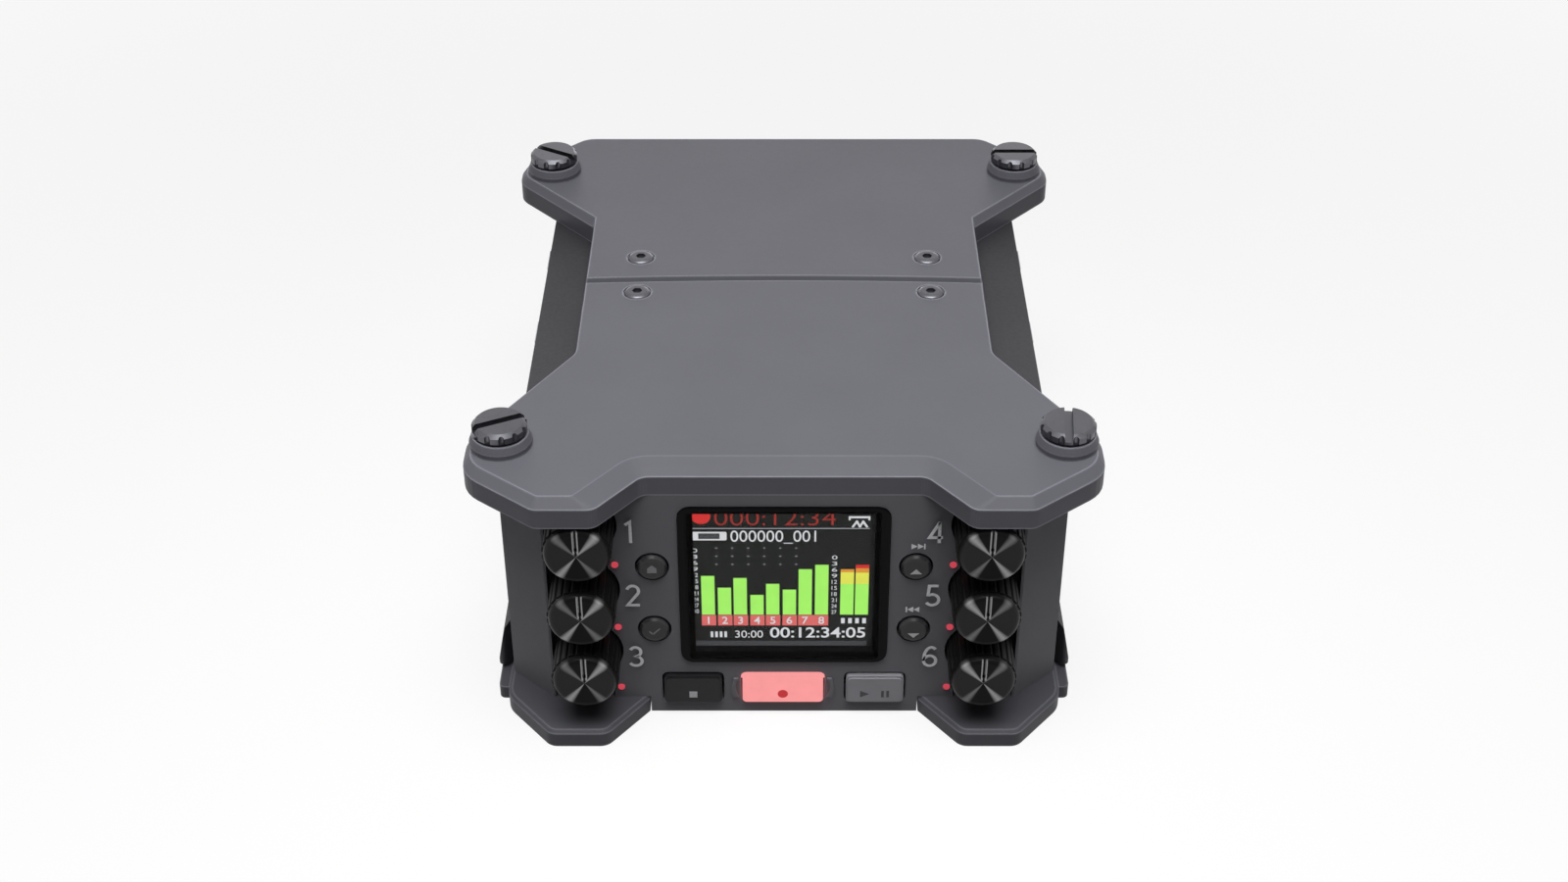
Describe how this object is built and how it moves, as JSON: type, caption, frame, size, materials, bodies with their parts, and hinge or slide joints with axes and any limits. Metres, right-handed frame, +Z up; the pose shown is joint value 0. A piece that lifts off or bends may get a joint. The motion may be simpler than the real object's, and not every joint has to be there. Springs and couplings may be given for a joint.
{
  "type": "portable field recorder",
  "caption": "Flat metal-cased field recorder with horned and winged covers, gain knobs, square display, keys, side inputs and a rear battery bay.",
  "frame": {"origin": "middle of the underside", "axes": "+X to the recorder's right, seen from the front; +Y from the front panel to the rear panel; +Z up"},
  "size_m": [0.1, 0.12, 0.0541],
  "materials": {
    "cover_coat": "fine matte coat",
    "panel_coat": "fine matte coat",
    "case_black": "matte",
    "lining_black": "matte",
    "gloss_black": "gloss",
    "knob_black": "black turned metal",
    "clear_window": "clear",
    "screen": "dark picture area",
    "light_red": "lit red",
    "key_black": "matte",
    "key_grey": "satin",
    "key_red": "lit from behind",
    "steel": "brushed",
    "black_steel": "black coat",
    "board_green": "lacquered",
    "gold": "plated",
    "cell_wrap": "printed sleeve, plain"
  },
  "bodies": {
    "recorder": {"bottom_plate": "cover_coat", "front_top_cover": "cover_coat", "rear_top_cover": "cover_coat", "cover_bracket": "steel", "front_panel": "panel_coat", "wing_inserts": "cover_coat", "left_side_panel": "case_black", "right_side_panel": "case_black", "rear_panel": "case_black", "left_well_lining": "lining_black", "right_well_lining": "lining_black", "display_frame": "gloss_black", "display_window": "clear_window", "display_panel": "screen", "status_lights": "light_red", "case_screws": "black_steel", "tripod_bush": "steel", "pots": "steel", "control_board": "board_green", "key_switches": "steel", "main_board": "board_green", "input_boards": "board_green", "left_input_shells": "case_black", "right_input_shells": "case_black", "left_input_inserts": "lining_black", "right_input_inserts": "lining_black", "input_contacts": "gold", "minijacks": "gloss_black", "usb_port": "steel", "card_slot": "steel", "battery_cells": "cell_wrap", "battery_contacts": "gold"},
    "gain_knob_1": {"gain_knob_1": "knob_black"},
    "gain_knob_2": {"gain_knob_2": "knob_black"},
    "gain_knob_3": {"gain_knob_3": "knob_black"},
    "gain_knob_4": {"gain_knob_4": "knob_black"},
    "gain_knob_5": {"gain_knob_5": "knob_black"},
    "gain_knob_6": {"gain_knob_6": "knob_black"},
    "menu_key": {"menu_key": "key_black"},
    "enter_key": {"enter_key": "key_black"},
    "up_key": {"up_key": "key_black"},
    "down_key": {"down_key": "key_black"},
    "stop_key": {"stop_key": "key_black"},
    "record_key": {"record_key": "key_red"},
    "play_key": {"play_key": "key_grey"},
    "release_tab_1": {"release_tab_1": "steel"},
    "release_tab_2": {"release_tab_2": "steel"},
    "release_tab_3": {"release_tab_3": "steel"},
    "release_tab_4": {"release_tab_4": "steel"},
    "release_tab_5": {"release_tab_5": "steel"},
    "release_tab_6": {"release_tab_6": "steel"},
    "headphone_dial": {"headphone_dial": "knob_black"},
    "power_switch": {"power_switch": "key_grey"},
    "card_cover": {"card_cover": "case_black"},
    "battery_door": {"battery_door": "case_black"},
    "thumb_screw_front_left": {"thumb_screw_front_left": "black_steel"},
    "thumb_screw_front_right": {"thumb_screw_front_right": "black_steel"},
    "thumb_screw_rear_left": {"thumb_screw_rear_left": "black_steel"},
    "thumb_screw_rear_right": {"thumb_screw_rear_right": "black_steel"}
  },
  "joints": [
    {"name": "gain_knob_1_turn", "type": "hinge", "parent": "recorder", "child": "gain_knob_1", "pos_m": [-0.032, -0.0514, 0.03905], "axis": [0, 1, 0], "range_deg": [-150, 150]},
    {"name": "gain_knob_2_turn", "type": "hinge", "parent": "recorder", "child": "gain_knob_2", "pos_m": [-0.032, -0.0514, 0.0262], "axis": [0, 1, 0], "range_deg": [-150, 150]},
    {"name": "gain_knob_3_turn", "type": "hinge", "parent": "recorder", "child": "gain_knob_3", "pos_m": [-0.032, -0.0514, 0.01335], "axis": [0, 1, 0], "range_deg": [-150, 150]},
    {"name": "gain_knob_4_turn", "type": "hinge", "parent": "recorder", "child": "gain_knob_4", "pos_m": [0.032, -0.0514, 0.03905], "axis": [0, 1, 0], "range_deg": [-150, 150]},
    {"name": "gain_knob_5_turn", "type": "hinge", "parent": "recorder", "child": "gain_knob_5", "pos_m": [0.032, -0.0514, 0.0262], "axis": [0, 1, 0], "range_deg": [-150, 150]},
    {"name": "gain_knob_6_turn", "type": "hinge", "parent": "recorder", "child": "gain_knob_6", "pos_m": [0.032, -0.0514, 0.01335], "axis": [0, 1, 0], "range_deg": [-150, 150]},
    {"name": "menu_key_press", "type": "slide", "parent": "recorder", "child": "menu_key", "axis": [0, 1, 0], "range_m": [0, 0.0006], "stiffness_N_per_m": 600, "springref_m": -0.0008},
    {"name": "enter_key_press", "type": "slide", "parent": "recorder", "child": "enter_key", "axis": [0, 1, 0], "range_m": [0, 0.0006], "stiffness_N_per_m": 600, "springref_m": -0.0008},
    {"name": "up_key_press", "type": "slide", "parent": "recorder", "child": "up_key", "axis": [0, 1, 0], "range_m": [0, 0.0006], "stiffness_N_per_m": 600, "springref_m": -0.0008},
    {"name": "down_key_press", "type": "slide", "parent": "recorder", "child": "down_key", "axis": [0, 1, 0], "range_m": [0, 0.0006], "stiffness_N_per_m": 600, "springref_m": -0.0008},
    {"name": "stop_key_press", "type": "slide", "parent": "recorder", "child": "stop_key", "axis": [0, 1, 0], "range_m": [0, 0.0006], "stiffness_N_per_m": 600, "springref_m": -0.0008},
    {"name": "record_key_press", "type": "slide", "parent": "recorder", "child": "record_key", "axis": [0, 1, 0], "range_m": [0, 0.0006], "stiffness_N_per_m": 600, "springref_m": -0.0008},
    {"name": "play_key_press", "type": "slide", "parent": "recorder", "child": "play_key", "axis": [0, 1, 0], "range_m": [0, 0.0006], "stiffness_N_per_m": 600, "springref_m": -0.0008},
    {"name": "release_tab_1_press", "type": "slide", "parent": "recorder", "child": "release_tab_1", "axis": [1, 0, 0], "range_m": [0, 0.0012], "stiffness_N_per_m": 600, "springref_m": -0.0008},
    {"name": "release_tab_2_press", "type": "slide", "parent": "recorder", "child": "release_tab_2", "axis": [1, 0, 0], "range_m": [0, 0.0012], "stiffness_N_per_m": 600, "springref_m": -0.0008},
    {"name": "release_tab_3_press", "type": "slide", "parent": "recorder", "child": "release_tab_3", "axis": [1, 0, 0], "range_m": [0, 0.0012], "stiffness_N_per_m": 600, "springref_m": -0.0008},
    {"name": "release_tab_4_press", "type": "slide", "parent": "recorder", "child": "release_tab_4", "axis": [-1, 0, 0], "range_m": [0, 0.0012], "stiffness_N_per_m": 600, "springref_m": -0.0008},
    {"name": "release_tab_5_press", "type": "slide", "parent": "recorder", "child": "release_tab_5", "axis": [-1, 0, 0], "range_m": [0, 0.0012], "stiffness_N_per_m": 600, "springref_m": -0.0008},
    {"name": "release_tab_6_press", "type": "slide", "parent": "recorder", "child": "release_tab_6", "axis": [-1, 0, 0], "range_m": [0, 0.0012], "stiffness_N_per_m": 600, "springref_m": -0.0008},
    {"name": "headphone_dial_turn", "type": "hinge", "parent": "recorder", "child": "headphone_dial", "pos_m": [0.0428, -0.021, 0.00865], "axis": [-1, 0, 0], "range_deg": [-150, 150]},
    {"name": "power_switch_slide", "type": "slide", "parent": "recorder", "child": "power_switch", "axis": [0, 1, 0], "range_m": [-0.0022, 0.0022]},
    {"name": "card_cover_hinge", "type": "hinge", "parent": "recorder", "child": "card_cover", "pos_m": [-0.0421, -0.013, 0.00555], "axis": [0, -1, 0], "range_deg": [0, 95]},
    {"name": "battery_door_hinge", "type": "hinge", "parent": "recorder", "child": "battery_door", "pos_m": [-0.01735, 0.0563, 0.0214], "axis": [0, 0, 1], "range_deg": [0, 110]},
    {"name": "thumb_screw_front_left_turn", "type": "hinge", "parent": "recorder", "child": "thumb_screw_front_left", "pos_m": [-0.0443, -0.0445, 0.0498], "axis": [0, 0, 1], "continuous": true},
    {"name": "thumb_screw_front_right_turn", "type": "hinge", "parent": "recorder", "child": "thumb_screw_front_right", "pos_m": [0.0443, -0.0445, 0.0498], "axis": [0, 0, 1], "continuous": true},
    {"name": "thumb_screw_rear_left_turn", "type": "hinge", "parent": "recorder", "child": "thumb_screw_rear_left", "pos_m": [-0.0436, 0.0454, 0.0498], "axis": [0, 0, 1], "continuous": true},
    {"name": "thumb_screw_rear_right_turn", "type": "hinge", "parent": "recorder", "child": "thumb_screw_rear_right", "pos_m": [0.0436, 0.0454, 0.0498], "axis": [0, 0, 1], "continuous": true}
  ]
}
